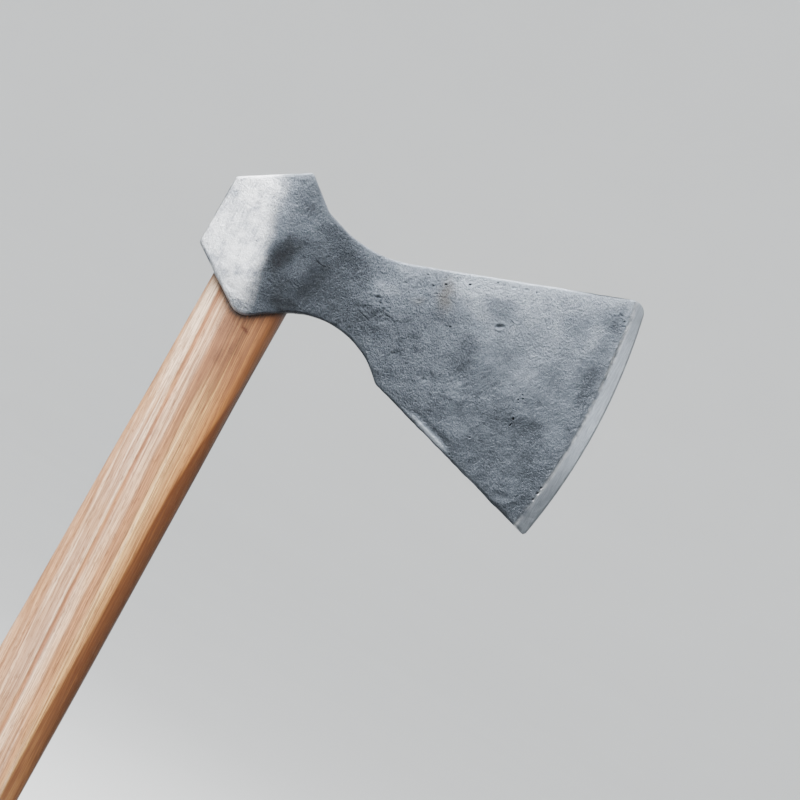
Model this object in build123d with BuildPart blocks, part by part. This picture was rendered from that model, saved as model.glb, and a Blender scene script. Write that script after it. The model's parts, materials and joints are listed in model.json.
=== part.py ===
from build123d import *
import math
import os

# Carving hatchet: a forged head on a wooden haft, held by a wooden wedge and a steel cross wedge.
# Millimetres. +Z runs up the haft to the head, +X towards the cutting edge, +Y across the cheeks.
# The origin is the centre of the haft's flat butt.

os.makedirs("parts", exist_ok=True)

# Whole tool
eye_height = 330.0  # butt to the middle of the eye

# Head from the side. Places are (x, z) from the middle of the eye, each with its corner radius.
poll_back = -25.8
poll_top, poll_top_radius = (poll_back, 14.4), 0.5
top_lug, top_lug_radius = (-0.8, 29.6), 1.5
lug_root, lug_root_radius = (11.4, 19.9), 5.0
neck_top, neck_top_radius = (33.4, 13.0), 47.0
beard_corner, beard_corner_radius = (58.3, -27.9), 4.5
neck_under, neck_under_radius = (35.6, -7.0), 34.0
bottom_lug, bottom_lug_radius = (0.4, -31.6), 7.5
poll_bottom, poll_bottom_radius = (poll_back, -14.0), 1.0
top_slope = 0.374  # rise of the blade's top line towards the toe
beard_slope = -0.2875  # fall of the beard line towards the heel
edge_centre = (-91.0, -6.5)
edge_radius = 231.0
toe_radius = 5.0
heel_radius = 1.2
blank_reach = 150.0  # the outline runs past the cutting edge before the edge trims it

# Head from above: half thicknesses at places along x
poll_half_thickness = 10.5
crest, crest_radius = (-2.0, 16.5), 12.0
waist, waist_radius = (31.0, 4.45), 60.0
shoulder_x, shoulder_half_thickness = 134.0, 1.35
head_half_height = 60.0
head_half_width = 20.0

# Cutting bevel: a cone on each side, centred on the edge's own centre
bevel_half_angle = 14.0
edge_half_land = 0.12

# Eye and the tenon that fills it: an oval of four arcs
eye_half_depth = 16.0
eye_half_width = 10.25
eye_end_radius = 8.0

# Haft below the head: (height, half depth, half width, end radius, forward shift)
tenon_start = eye_height - 34.0
tenon_top = eye_height + 16.5
haft_sections = [
    (tenon_start, eye_half_depth, eye_half_width, eye_end_radius, 0.0),
    (220.0, 16.5, 11.2, 9.0, 0.3),
    (130.0, 17.0, 11.8, 9.6, 0.75),
    (55.0, 17.4, 12.0, 9.8, 0.7),
    (0.0, 18.6, 12.8, 10.4, 0.0),
]
butt_chamfer = 2.0

# Wedges
kerf_depth = 44.0
wedge_top_half = 2.6  # half thickness of the wooden wedge at its top
wedge_tip_half = 0.5
cross_top_half = 1.2  # half thickness of the steel wedge at its top
cross_tip_half = 0.3
cross_depth = 19.0
cross_half_width = 7.0


def oval(half_depth, half_width, end_radius):
    """Closed oval of two end arcs and two flatter side arcs, long way along the plane's x."""
    end_x = half_depth - end_radius
    side_radius = (end_x**2 + half_width**2 - end_radius**2) / (2 * (half_width - end_radius))
    drop = side_radius - half_width
    ratio = side_radius / (side_radius - end_radius)
    join_x = end_x * ratio
    join_y = drop * ratio - drop
    ThreePointArc((join_x, -join_y), (half_depth, 0), (join_x, join_y))
    ThreePointArc((join_x, join_y), (0, half_width), (-join_x, join_y))
    ThreePointArc((-join_x, join_y), (-half_depth, 0), (-join_x, -join_y))
    ThreePointArc((-join_x, -join_y), (0, -half_width), (join_x, -join_y))


def on_line(corner, slope, x):
    """Point at x on the line that leaves a corner with a given slope."""
    return (x, corner[1] + slope * (x - corner[0]))


side_plane = Plane(origin=(0, 0, eye_height), x_dir=(1, 0, 0), z_dir=(0, -1, 0))
cross_plane = Plane(origin=(0, 0, eye_height), x_dir=(0, 1, 0), z_dir=(1, 0, 0))
eye_plane = Plane.XY.offset(eye_height)
tenon_plane = Plane.XY.offset(tenon_start)
edge_plane = Plane(origin=(edge_centre[0], 0, eye_height + edge_centre[1]), z_dir=(0, 0, 1))
edge_axis = Axis(edge_plane.origin, (0, 1, 0))


# Forged head: the side outline, thinned to the plan profile, then ground to the edge
with BuildPart() as head:
    with BuildSketch(side_plane):
        with BuildLine():
            FilletPolyline(
                poll_bottom,
                poll_top,
                top_lug,
                lug_root,
                neck_top,
                on_line(neck_top, top_slope, blank_reach),
                on_line(beard_corner, beard_slope, blank_reach),
                beard_corner,
                neck_under,
                bottom_lug,
                radius=[
                    poll_bottom_radius,
                    poll_top_radius,
                    top_lug_radius,
                    lug_root_radius,
                    neck_top_radius,
                    0,
                    0,
                    beard_corner_radius,
                    neck_under_radius,
                    bottom_lug_radius,
                ],
                close=True,
            )
        make_face()
        with Locations(edge_centre):
            Circle(edge_radius, mode=Mode.INTERSECT)
        fillet(vertices().sort_by(Axis.Y)[-1], toe_radius)
        fillet(vertices().sort_by(Axis.Y)[0], heel_radius)
    extrude(amount=head_half_width, both=True)

    taper = (shoulder_half_thickness - waist[1]) / (shoulder_x - waist[0])
    with BuildSketch(eye_plane):
        with BuildLine():
            FilletPolyline(
                (poll_back, 0),
                (poll_back, poll_half_thickness),
                crest,
                waist,
                on_line(waist, taper, blank_reach),
                (blank_reach, 0),
                radius=[0, crest_radius, waist_radius, 0],
            )
            mirror(about=Plane.XZ)
        make_face()
    extrude(amount=head_half_height, both=True, mode=Mode.INTERSECT)

    bevel_run = (head_half_width - edge_half_land) / math.tan(math.radians(bevel_half_angle))
    with BuildSketch(edge_plane):
        with BuildLine():
            Polyline(
                (0, -head_half_width),
                (edge_radius - bevel_run, -head_half_width),
                (edge_radius, -edge_half_land),
                (edge_radius, edge_half_land),
                (edge_radius - bevel_run, head_half_width),
                (0, head_half_width),
                close=True,
            )
        make_face()
    revolve(axis=edge_axis, mode=Mode.INTERSECT)

    with BuildSketch(eye_plane):
        with BuildLine():
            oval(eye_half_depth, eye_half_width, eye_end_radius)
        make_face()
    extrude(amount=head_half_height, both=True, mode=Mode.SUBTRACT)
head.part.label = "head"
export_step(head.part, "parts/head.step")


# Wooden haft: swelling grip, straight tenon, sawn kerf for the wedge and a split for the cross wedge
with BuildPart() as haft:
    for height, half_depth, half_width, end_radius, shift in haft_sections:
        with BuildSketch(Plane(origin=(shift, 0, height), z_dir=(0, 0, 1))):
            with BuildLine():
                oval(half_depth, half_width, end_radius)
            make_face()
    loft()
    chamfer(faces().sort_by(Axis.Z)[0].edges(), butt_chamfer)
    with BuildSketch(tenon_plane):
        with BuildLine():
            oval(eye_half_depth, eye_half_width, eye_end_radius)
        make_face()
    extrude(amount=tenon_top - tenon_start)
    with BuildSketch(cross_plane) as kerf_profile:
        with BuildLine():
            Polyline(
                (-wedge_top_half, tenon_top - eye_height),
                (wedge_top_half, tenon_top - eye_height),
                (wedge_tip_half, tenon_top - eye_height - kerf_depth),
                (-wedge_tip_half, tenon_top - eye_height - kerf_depth),
                close=True,
            )
        make_face()
    extrude(amount=head_half_width, both=True, mode=Mode.SUBTRACT)
    with BuildSketch(side_plane) as split_profile:
        with BuildLine():
            Polyline(
                (-cross_top_half, tenon_top - eye_height),
                (cross_top_half, tenon_top - eye_height),
                (cross_tip_half, tenon_top - eye_height - cross_depth),
                (-cross_tip_half, tenon_top - eye_height - cross_depth),
                close=True,
            )
        make_face()
    extrude(amount=cross_half_width, both=True, mode=Mode.SUBTRACT)
haft.part.label = "haft"
export_step(haft.part, "parts/haft.step")


# Wooden wedge: fills the kerf over the eye's whole length
with BuildPart() as wooden_wedge:
    extrude(kerf_profile.sketch, amount=head_half_width, both=True)
    with BuildSketch(tenon_plane):
        with BuildLine():
            oval(eye_half_depth, eye_half_width, eye_end_radius)
        make_face()
    extrude(amount=tenon_top - tenon_start, mode=Mode.INTERSECT)
    extrude(split_profile.sketch, amount=cross_half_width, both=True, mode=Mode.SUBTRACT)
wooden_wedge.part.label = "wooden_wedge"
export_step(wooden_wedge.part, "parts/wooden_wedge.step")


# Steel cross wedge: driven across the wooden wedge into both halves of the tenon
with BuildPart() as steel_wedge:
    extrude(split_profile.sketch, amount=cross_half_width, both=True)
steel_wedge.part.label = "steel_wedge"
export_step(steel_wedge.part, "parts/steel_wedge.step")
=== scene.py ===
import cmath
import json
import math

import bmesh
import bpy
import numpy as np
from mathutils import Matrix, Vector, noise


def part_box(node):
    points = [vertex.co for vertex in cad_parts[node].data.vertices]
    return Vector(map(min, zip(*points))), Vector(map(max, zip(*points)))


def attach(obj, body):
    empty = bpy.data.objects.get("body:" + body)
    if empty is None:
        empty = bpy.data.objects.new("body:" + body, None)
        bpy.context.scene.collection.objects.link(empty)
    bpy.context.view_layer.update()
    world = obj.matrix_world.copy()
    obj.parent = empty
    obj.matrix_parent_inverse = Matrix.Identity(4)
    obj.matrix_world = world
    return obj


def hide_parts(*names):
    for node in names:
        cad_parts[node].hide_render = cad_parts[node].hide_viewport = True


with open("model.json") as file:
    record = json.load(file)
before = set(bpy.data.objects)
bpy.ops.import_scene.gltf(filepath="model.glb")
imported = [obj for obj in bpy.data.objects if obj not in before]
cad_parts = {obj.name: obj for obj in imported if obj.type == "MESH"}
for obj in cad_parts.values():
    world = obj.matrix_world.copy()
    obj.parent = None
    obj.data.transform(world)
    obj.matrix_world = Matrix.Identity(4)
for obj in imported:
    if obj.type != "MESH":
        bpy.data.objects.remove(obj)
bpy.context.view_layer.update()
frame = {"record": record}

# Carving hatchet around its CAD frame. Shapes are worked out in millimetres, x towards the edge and
# z up the haft: from the middle of the eye for the head, from the butt for the haft and wedges.
# A table of marks has rows of x, z, half length, half width, lean in degrees, and an amount.
MM = 0.001
SEED = 7
NEAR, FAR = -1, 1  # the cheek at -Y and the cheek at +Y

head_low, head_high = (np.array(c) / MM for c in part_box("head"))
mounts = {m["name"]: m for m in frame["record"]["mounts"]}
EYE_Z = mounts["poll_face"]["pos_m"][2] / MM
POLL_X = head_low[0]
EDGE_X = head_high[0]
EDGE_Z = mounts["edge_for_sheath"]["pos_m"][2] / MM - EYE_Z
HAFT_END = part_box("haft")[1][2] / MM

# Side outline of the head: corners with their radii
EDGE_R = 231.0
POLL_TOP = (POLL_X, 14.4)
TOP_CORNERS = [((-0.8, 29.6), 1.5), ((11.4, 19.9), 5.0), ((33.4, 13.0), 47.0)]
TOP_SLOPE = 0.374
TOE_R = 5.0
POLL_BOTTOM = (POLL_X, -14.0)
BOTTOM_CORNERS = [((0.4, -31.6), 7.5), ((35.6, -7.0), 34.0), ((58.3, -27.9), 4.5)]
BEARD_SLOPE = -0.2875
HEEL_R = 1.2
NECK_X = 24.0  # where the poll ends and the neck begins

# Plan profile of the cheeks: half thickness at places along x
CREST, CREST_R = (-2.0, 16.5), 12.0
WAIST, WAIST_R = (31.0, 4.45), 60.0
POLL_HALF = 10.5
SHOULDER_X, SHOULDER_HALF = 134.0, 1.35
EDGE_LAND_X, EDGE_LAND_HALF = 154.0, 0.76
THIN_X = 95.0  # from here on the cheeks are led over to the bevel's shoulder

BEVEL_ANGLE = math.radians(14.0)
BEVEL_WIDE = 5.0
EYE_OVAL = (16.0, 10.25, 8.0)  # half depth, half width, end radius
EYE_POINTS = 96
EYE_FLARE = 0.35  # the eye opens a little towards both ends
EYE_REACH = 45.0


# ---- curves and meshes

def smooth(t):
    t = np.clip(t, 0.0, 1.0)
    return t * t * (3 - 2 * t)


def rounded(points, radii, step_deg=2.0):
    """Points along a polyline whose inner corners are turned into arcs of the given radii."""
    line = [complex(*p) for p in points]
    out = [line[0]]
    for before, corner, after, r in zip(line, line[1:], line[2:], radii):
        ahead = (corner - before) / abs(corner - before)
        turn = cmath.phase((after - corner) / ahead)
        start = corner - ahead * r * math.tan(abs(turn) / 2)
        centre = start + 1j * math.copysign(r, turn) * ahead
        steps = max(2, int(math.degrees(abs(turn)) / step_deg) + 1)
        out += [centre + (start - centre) * cmath.exp(1j * turn * k / steps) for k in range(steps + 1)]
    out.append(line[-1])
    return np.array([(p.real, p.imag) for p in out])


def wave(x, z, size, seed):
    """Smooth seeded noise over arrays of places, about -1 to 1, with features of a size in mm."""
    flat = zip(np.ravel(x) / size, np.ravel(z) / size)
    return np.array([noise.noise(Vector((a, b, seed))) for a, b in flat]).reshape(np.shape(x))


def leaning(x, z, place, half_long, half_wide, lean):
    """Coordinates of places in a leaning ellipse's own axes, 1 on its rim."""
    c, s = math.cos(math.radians(lean)), math.sin(math.radians(lean))
    along = ((x - place[0]) * c + (z - place[1]) * s) / half_long
    across = (-(x - place[0]) * s + (z - place[1]) * c) / half_wide
    return along, across


def spot(x, z, place, half_long, half_wide, lean=0.0):
    """1 in the middle of a leaning ellipse, fading to 0 a little outside its rim."""
    along, across = leaning(x, z, place, half_long, half_wide, lean)
    return np.exp(-(along**2 + across**2) ** 1.5)


def marks(table):
    """A table's rows as place, shape (half length, half width and lean) and amount."""
    return [((x, z), shape, amount) for x, z, *shape, amount in table]


def spots(x, z, table):
    """Each mark of a table as a spot times its amount."""
    return [amount * spot(x, z, place, *shape) for place, shape, amount in marks(table)]


def corners(u_low, u_high, v_low, v_high):
    return [(u_low, v_low), (u_high, v_low), (u_high, v_high), (u_low, v_high)]


def ring_faces(rings, n):
    """Quads between neighbouring rings of n points each."""
    return [
        (k * n + i, k * n + (i + 1) % n, (k + 1) * n + (i + 1) % n, (k + 1) * n + i)
        for k in range(rings - 1)
        for i in range(n)
    ]


def mesh_from(name, verts, faces):
    mesh = bpy.data.meshes.new(name)
    mesh.from_pydata([tuple(v) for v in verts], [], faces)
    ob = bpy.data.objects.new(name, mesh)
    bpy.context.scene.collection.objects.link(ob)
    return ob


def vertex_mm(ob):
    co = np.empty(len(ob.data.vertices) * 3, np.float32)
    ob.data.vertices.foreach_get("co", co)
    return co.reshape(-1, 3).astype(float) / MM


def paint(ob, values):
    """Set vertex values by name, for a material's nodes to read."""
    for name, value in values.items():
        layer = ob.data.attributes.new(name, "FLOAT", "POINT")
        layer.data.foreach_set("value", np.asarray(value, np.float32))


def cut(ob, tool):
    """Take a closed tool's volume out of a closed mesh, and delete the tool."""
    mod = ob.modifiers.new("cut", "BOOLEAN")
    mod.operation = "DIFFERENCE"
    mod.solver = "MANIFOLD"
    mod.object = tool
    bpy.context.view_layer.update()
    mesh = bpy.data.meshes.new_from_object(ob.evaluated_get(bpy.context.evaluated_depsgraph_get()))
    ob.modifiers.clear()
    ob.data = mesh
    bpy.data.objects.remove(tool)


def oval(half_depth, half_width, end_radius, count):
    """Points round the eye's oval: two end arcs and two flatter side arcs, starting at the front."""
    end_x = half_depth - end_radius
    side_radius = (end_x**2 + half_width**2 - end_radius**2) / (2 * (half_width - end_radius))
    drop = side_radius - half_width
    th = 2 * math.pi * np.arange(count) / count
    c, s = np.abs(np.cos(th)), np.abs(np.sin(th))
    r_end = end_x * c + np.sqrt(np.maximum(end_radius**2 - (end_x * s) ** 2, 0))
    r_side = np.sqrt(side_radius**2 - (drop * c) ** 2) - drop * s
    on_end = np.arctan2(r_end * s, r_end * c - end_x) <= math.atan2(drop, end_x)
    r = np.where(on_end, r_end, r_side)
    return np.stack([r * np.cos(th), r * np.sin(th)], 1)


def prism(name, outlines, heights):
    """Closed solid through outlines of equal count stacked at heights."""
    n = len(outlines[0])
    verts = [(x, y, z) for line, z in zip(outlines, heights) for x, y in line]
    faces = ring_faces(len(heights), n)
    faces.append(tuple(range(n))[::-1])
    faces.append(tuple(range((len(heights) - 1) * n, len(heights) * n)))
    return mesh_from(name, np.array(verts) * MM, faces)


def ring_solid(name, rings, cap_rings=8):
    """Closed mesh through rings of points, with concentric quads on both ends."""
    n = len(rings[0])

    def cap(ring):
        centre = ring.mean(0)
        return [centre + (ring - centre) * (1 - k / cap_rings) for k in range(1, cap_rings)], centre

    low, low_mid = cap(rings[0])
    high, high_mid = cap(rings[-1])
    stack = low[::-1] + list(rings) + high
    verts = [tuple(p) for ring in stack for p in ring] + [tuple(low_mid), tuple(high_mid)]
    last = (len(stack) - 1) * n
    faces = ring_faces(len(stack), n)
    faces += [((i + 1) % n, i, len(verts) - 2) for i in range(n)]
    faces += [(last + i, last + (i + 1) % n, len(verts) - 1) for i in range(n)]
    return mesh_from(name, np.array(verts) * MM, faces)


# ---- head: plain shape

def edge_drop(z):
    """How far the edge arc lies behind its foremost point at height z."""
    return EDGE_R - np.sqrt(EDGE_R**2 - (z - EDGE_Z) ** 2)


def blade_corner(corner, slope):
    """Where the line from a corner with a slope meets the edge arc."""
    x = EDGE_X
    for _ in range(30):
        x = EDGE_X - edge_drop(corner[1] + slope * (x - corner[0]))
    return np.array([x, corner[1] + slope * (x - corner[0])])


def outline_side(start, line_corners, slope, tip_r, sign):
    """Top or bottom line of the head from the poll to where it runs into the edge arc."""
    tip = blade_corner(line_corners[-1][0], slope)
    rise = (tip[1] - EDGE_Z) / EDGE_R
    inward = sign * np.array([rise, -math.sqrt(1 - rise**2)])
    points = [start] + [c for c, _ in line_corners] + [tip, tip + 12.0 * inward]
    line = rounded(points, [r for _, r in line_corners] + [tip_r])
    return line[:-1]


top_line = outline_side(POLL_TOP, TOP_CORNERS, TOP_SLOPE, TOE_R, 1)
bottom_line = outline_side(POLL_BOTTOM, BOTTOM_CORNERS, BEARD_SLOPE, HEEL_R, -1)
plan_line = rounded(
    [(POLL_X, POLL_HALF), CREST, WAIST, (SHOULDER_X, SHOULDER_HALF), (EDGE_LAND_X, EDGE_LAND_HALF)],
    [CREST_R, WAIST_R, 0.001],
)


def top_z(x):
    return np.interp(x, top_line[:, 0], top_line[:, 1], right=90.0)


def bottom_z(x):
    return np.interp(x, bottom_line[:, 0], bottom_line[:, 1], right=-90.0)


def cheek_half(x):
    return np.interp(x, plan_line[:, 0], plan_line[:, 1])


def bevel_width(s):
    """Width of the ground bevel from heel (s=0) to toe (s=1)."""
    return BEVEL_WIDE - 1.5 * smooth((s - 0.72) / 0.28) - 0.3 * smooth((0.1 - s) / 0.1)


def before_bevel(a, s):
    """1 on the body of the blade, 0 on its ground bevel."""
    return smooth((EDGE_X - bevel_width(s) - a) / 1.6)


def head_thickness(a, s):
    """Half thickness of column a: the plan profile, led to the bevel's shoulder, then the bevel."""
    shoulder = EDGE_X - bevel_width(s)
    shoulder_half = bevel_width(s) * math.tan(BEVEL_ANGLE)
    share = smooth((a - THIN_X) / (shoulder - THIN_X))
    body = cheek_half(a) + share * (shoulder_half - cheek_half(shoulder))
    ground = shoulder_half * (EDGE_X - a) / bevel_width(s)
    return np.where(a <= shoulder + 1e-6, body, ground)


# ---- head: forged surface

# Broad hollows (+) and swells (-) on the near cheek, and what their amounts are multiplied by
SWELL_GAIN = 1.4
NEAR_SWELLS = [
    (127, 18, 22, 3.6, 90, 0.2), (121, 24, 22, 3.4, 90, -0.16), (96, -6, 13, 8, 60, 0.22),
    (57.5, -1, 4.5, 3.2, -40, 0.2), (67, 2, 7, 6, 0, 0.18), (80, 2, 9, 6.5, 20, -0.16),
    (84, 10, 8, 6, 70, 0.16), (104, 16, 10, 7, 80, 0.16), (110, 4, 12, 6, 90, -0.14),
    (88, -24, 9, 4.5, 20, 0.18), (96, -17, 12, 4.5, 10, -0.14), (76, -26, 5, 3.5, -10, -0.14),
    (110, -28, 8, 7, 40, 0.16), (118, -38, 5, 3.5, 20, -0.14), (60, 8, 8, 4, 60, -0.12),
    (44, 5, 6, 3.5, 20, -0.18), (8, 6, 10, 5, 70, 0.2), (20, 6, 10, 5, 60, -0.14),
    (15, -10, 9, 4.5, 60, -0.16), (19, -8, 9, 3, 75, 0.18), (2, -4, 7, 5, 90, 0.14),
]

# Blows that left a clear dent on the near cheek
DENT_GAIN = 1.3
NEAR_DENTS = [
    (58.9, -14.6, 2.6, 1.3, 30, 0.2), (73.8, -16.4, 3, 2.4, 25, 0.3), (47.5, -5, 4.6, 2.6, 20, 0.26),
    (44.5, 0.8, 3.4, 1.6, 20, 0.22), (41, -4.4, 2.6, 1, 25, 0.2), (55.5, 12, 4.2, 2, 80, 0.18),
    (61.5, 10, 3.6, 1.8, 75, 0.2), (66.5, 14, 5, 2.4, 110, 0.16), (51, 12.5, 3, 1.4, 60, 0.18),
    (63, -6, 3.2, 1.6, 0, 0.14), (84, -10, 4, 2.4, 60, 0.14), (121, -41.5, 3.4, 1.8, 10, 0.16),
]

LIP_START, LIP_END = 75.5, 96.0  # burr along the near side's lower edge
HEEL_FLAT = (125.0, 6.5, 3.0)  # x, half length and height of the ground flat behind the heel
SEAM_X, SEAM_LOW, SEAM_HIGH = 22.6, -18.5, 2.0  # fold left across the neck by the forging
SEAM_RUN, SEAM_DEPTH = 7.0, 0.22
BLADE_BLOWS = (80, (30.0, 130.0), (-50.0, 48.0), 7.0)  # count, spans along x and z, least gap
NECK_BLOWS = (16, (2.0, 34.0), (-26.0, 24.0), 6.5)

# Where the poll's ground facet ends: x at heights up the cheek
FACET_HEIGHTS = [-30.0, -20.0, -14.0, -3.0, 7.0, 20.0, 26.0]
FACET_EDGE = [1.0, 0.0, -1.2, -3.4, -6.3, -8.7, -10.0]


def scatter(rng, count, x_span, z_span, gap):
    """Seeded places spread evenly enough that no two are nearer than gap."""
    places = []
    for _ in range(count * 30):
        p = np.array([rng.uniform(*x_span), rng.uniform(*z_span)])
        if all(np.hypot(*(p - q)) > gap for q in places):
            places.append(p)
        if len(places) == count:
            break
    return places


def hammer_marks(side):
    """Round dished blows, larger on the blade and smaller on the neck: place, radius and depth."""
    rng = np.random.default_rng(SEED + side)
    blows = [(p, rng.uniform(5.0, 9.0), rng.uniform(0.06, 0.2)) for p in scatter(rng, *BLADE_BLOWS)]
    blows += [(p, rng.uniform(4.0, 6.5), rng.uniform(0.06, 0.16)) for p in scatter(rng, *NECK_BLOWS)]
    return blows


def relief(x, z, side):
    """Outward height of the forged surface over the plain cheek, in mm."""
    out = np.zeros_like(x)
    for place, r, depth in hammer_marks(side):
        d2 = ((x - place[0]) ** 2 + (z - place[1]) ** 2) / r**2
        out -= depth * np.clip(1 - d2, 0, 1) ** 1.5
    if side == NEAR:
        for hollow in spots(x, z, NEAR_SWELLS):
            out -= SWELL_GAIN * hollow
        for place, shape, depth in marks(NEAR_DENTS):
            d = np.hypot(*leaning(x, z, place, *shape))
            out -= DENT_GAIN * depth * (np.exp(-(d**3)) - 0.3 * np.exp(-((d - 1.35) ** 2) * 8))
        inside = smooth((z - SEAM_LOW) / 3.0) * smooth((SEAM_HIGH - z) / 3.0)
        slope = np.clip((x - SEAM_X + SEAM_RUN) / SEAM_RUN, 0, 1) * (x < SEAM_X)
        out -= SEAM_DEPTH * slope * inside
    for size, height, seed in ((15.0, 0.2, 3.1), (6.0, 0.09, 9.3), (2.4, 0.045, 17.9)):
        out += height * wave(x, z, size, seed * side)
    return out


def lower_lip(x, above):
    """Near side's burr and the hollow beside it; above is the height over the lower edge."""
    span = smooth((x - LIP_START) / 2.0) * smooth((LIP_END - x) / 3.0)
    ripple = 0.75 + 0.5 * wave(x, 0 * x, 2.5, 31.0)
    burr = 0.5 * ripple * np.exp(-(((above - 1.7) / 0.6) ** 2))
    hollow = 0.34 * np.exp(-(((above - 3.5) / 1.2) ** 2))
    return span * (burr - hollow)


def heel_flat(x, above):
    """Flat ground off the near cheek above the heel."""
    mid, half_long, tall = HEEL_FLAT
    reach = tall * np.clip(1 - ((x - mid) / half_long) ** 2, 0, 1)
    return -0.16 * np.maximum(reach - above, 0.0)


def off_facet(x, z):
    """0 on the poll's ground facet, 1 past its uneven edge."""
    facet_edge = np.interp(z, FACET_HEIGHTS, FACET_EDGE) + 1.6 * wave(x, z, 7.0, 51.0)
    return smooth((x - facet_edge + 4.0) / 8.0)


def worked(a, x, z, s):
    """How rough each place was left: 0 on ground metal, 1 as forged."""
    lug_tip = smooth((-z - 21.0) / 6.0) * smooth((x + 20.0) / 6.0)
    return np.maximum(0.25 + 0.75 * off_facet(x, z), lug_tip) * before_bevel(a, s)


# Pits in the near cheek
NEAR_PITS = [
    (88.8, 14.4, 2.2, 1.2, 30, 0.75), (91.9, 18.3, 1, 0.4, -22, 0.35), (72.3, 5, 0.85, 0.5, 20, 0.35),
    (103.9, -2.8, 0.3, 0.3, 0, 0.35), (108.9, -3.9, 0.4, 0.3, 0, 0.5), (109.9, -5.1, 0.5, 0.4, 20, 0.6),
    (108.5, -6.3, 0.45, 0.4, 0, 0.6), (109, -7.3, 0.35, 0.3, 0, 0.5), (108.5, -10.2, 0.35, 0.3, 0, 0.45),
    (109.5, -10.1, 0.25, 0.25, 0, 0.35), (110.4, -13.5, 0.85, 0.42, 120, 0.6),
    (110.5, -16.1, 0.9, 0.36, 80, 0.6), (108.1, 32.8, 0.32, 0.32, 0, 0.5), (99.5, -28, 0.6, 0.3, 60, 0.3),
    (55.3, 18.1, 0.6, 0.45, 30, 0.35), (57, 16.8, 0.35, 0.3, 0, 0.3), (59, 15.4, 0.65, 0.5, 40, 0.4),
    (61.8, 13.5, 0.5, 0.4, 0, 0.3), (63.1, 18.2, 0.9, 0.6, 30, 0.4), (65.4, 22.5, 0.35, 0.3, 0, 0.35),
    (66.6, 23.1, 0.3, 0.3, 0, 0.3), (67.8, 22, 0.3, 0.3, 0, 0.3), (71, 22.7, 0.8, 0.5, 30, 0.45),
    (71.4, 20.8, 0.4, 0.3, 90, 0.3), (74.2, 23.2, 0.35, 0.3, 0, 0.3), (73.3, 25, 0.3, 0.25, 0, 0.3),
    (79.9, 28.6, 0.75, 0.4, 10, 0.35), (86, 29.8, 1.15, 0.7, 30, 0.4), (90.6, 31.6, 1.3, 0.55, 25, 0.3),
    (94.5, 32.6, 0.55, 0.5, 0, 0.3), (49, 10.8, 1.2, 0.6, 40, 0.3), (53.2, 15.6, 0.5, 0.35, 0, 0.25),
    (44.4, 11.9, 0.45, 0.3, 0, 0.25), (39.2, 13.3, 0.7, 0.3, 40, 0.25), (36.6, 14.9, 1.3, 0.4, 75, 0.3),
    (-6.9, -3.3, 0.42, 0.38, 0, 0.4), (43.1, 1.1, 1, 0.6, 10, 0.3), (44.9, -0.2, 0.8, 0.5, -20, 0.3),
    (42.3, -2.9, 1.3, 0.5, 30, 0.28), (46.8, -1.6, 1.2, 0.45, 20, 0.25), (57.5, 8, 1.3, 0.7, 50, 0.22),
    (58.7, -14.4, 1.5, 0.6, 25, 0.3), (73.7, -17.2, 1.2, 0.7, 20, 0.25), (96, -37.2, 0.6, 0.4, 20, 0.4),
    (97.3, -37.8, 0.45, 0.35, 0, 0.35), (128.8, 39.4, 0.9, 0.45, 60, 0.35),
    (129.4, 37.6, 0.6, 0.35, 60, 0.3), (132.6, -31.2, 0.6, 0.5, 0, 0.4), (132.5, -33.5, 0.6, 0.5, 0, 0.4),
    (132.1, -36.4, 0.7, 0.5, 90, 0.35), (126.5, 41, 1.4, 0.6, -30, 0.3), (122.8, 39, 0.7, 0.4, 0, 0.2),
]

# Scratches and cracks in each cheek: start, end, half width, depth
NEAR_SCRATCHES = [
    ((16, 1.7), (18.2, 1), 0.24, 0.3), ((18.4, 1.1), (20.2, 1.2), 0.26, 0.32),
    ((37.7, -6.3), (46, -8.8), 0.3, 0.2), ((39.7, -5.2), (44.9, -6.8), 0.3, 0.16),
    ((39.4, -4.6), (40.5, -1.6), 0.26, 0.14), ((0.6, 21.5), (3.6, 21.2), 0.25, 0.15),
    ((83, 2.5), (84.5, 12), 0.2, 0.05), ((79, -4), (80.5, 6), 0.2, 0.05),
    ((75, -24), (79, -16), 0.25, 0.06),
]
FAR_SCRATCHES = [((44.0, -2.0), (52.0, 3.0), 0.3, 0.15), ((70.0, -18.0), (74.0, -9.0), 0.25, 0.1)]

# Patches of the near cheek left coarsely pitted
NEAR_PEBBLES = [
    (4.6, 16, 5, 3.2, 60, 0.16), (-4, -26.5, 5.5, 2.6, -30, 0.14), (6.5, -17, 5.5, 3.5, 70, 0.16),
    (125, 40, 5, 2.6, 10, 0.16), (55, 13, 7, 4.5, 20, 0.14), (48, -2.5, 8, 5, 0, 0.15),
    (58, -12, 4.5, 3.5, 20, 0.12), (20.5, 8, 4.5, 2.5, 60, 0.09), (104, 33, 6, 2.2, 20, 0.1),
]

FLAW_MARGIN = 0.55  # faces this near a flaw are divided
COARSE_FACE = 0.2  # in square mm; smaller faces have been divided already


def far_flaws():
    """Seeded pits and pitted patches for the far cheek, like the near one's."""
    rng = np.random.default_rng(SEED + 50)
    pits = []
    for p in scatter(rng, 36, (8.0, 128.0), (-44.0, 42.0), 4.0):
        half_long = rng.uniform(0.3, 1.2)
        slim = rng.uniform(0.4, 1.0)
        pits.append((*p, half_long, half_long * slim, rng.uniform(0, 180), rng.uniform(0.2, 0.5)))
    pebbles = []
    for p in scatter(rng, 8, (0.0, 126.0), (-30.0, 34.0), 14.0):
        half_long = rng.uniform(3.5, 7.0)
        pebbles.append((*p, half_long, half_long * 0.6, rng.uniform(0, 180), rng.uniform(0.1, 0.16)))
    return pits, FAR_SCRATCHES, pebbles


FLAWS = {NEAR: (NEAR_PITS, NEAR_SCRATCHES, NEAR_PEBBLES), FAR: far_flaws()}


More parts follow.
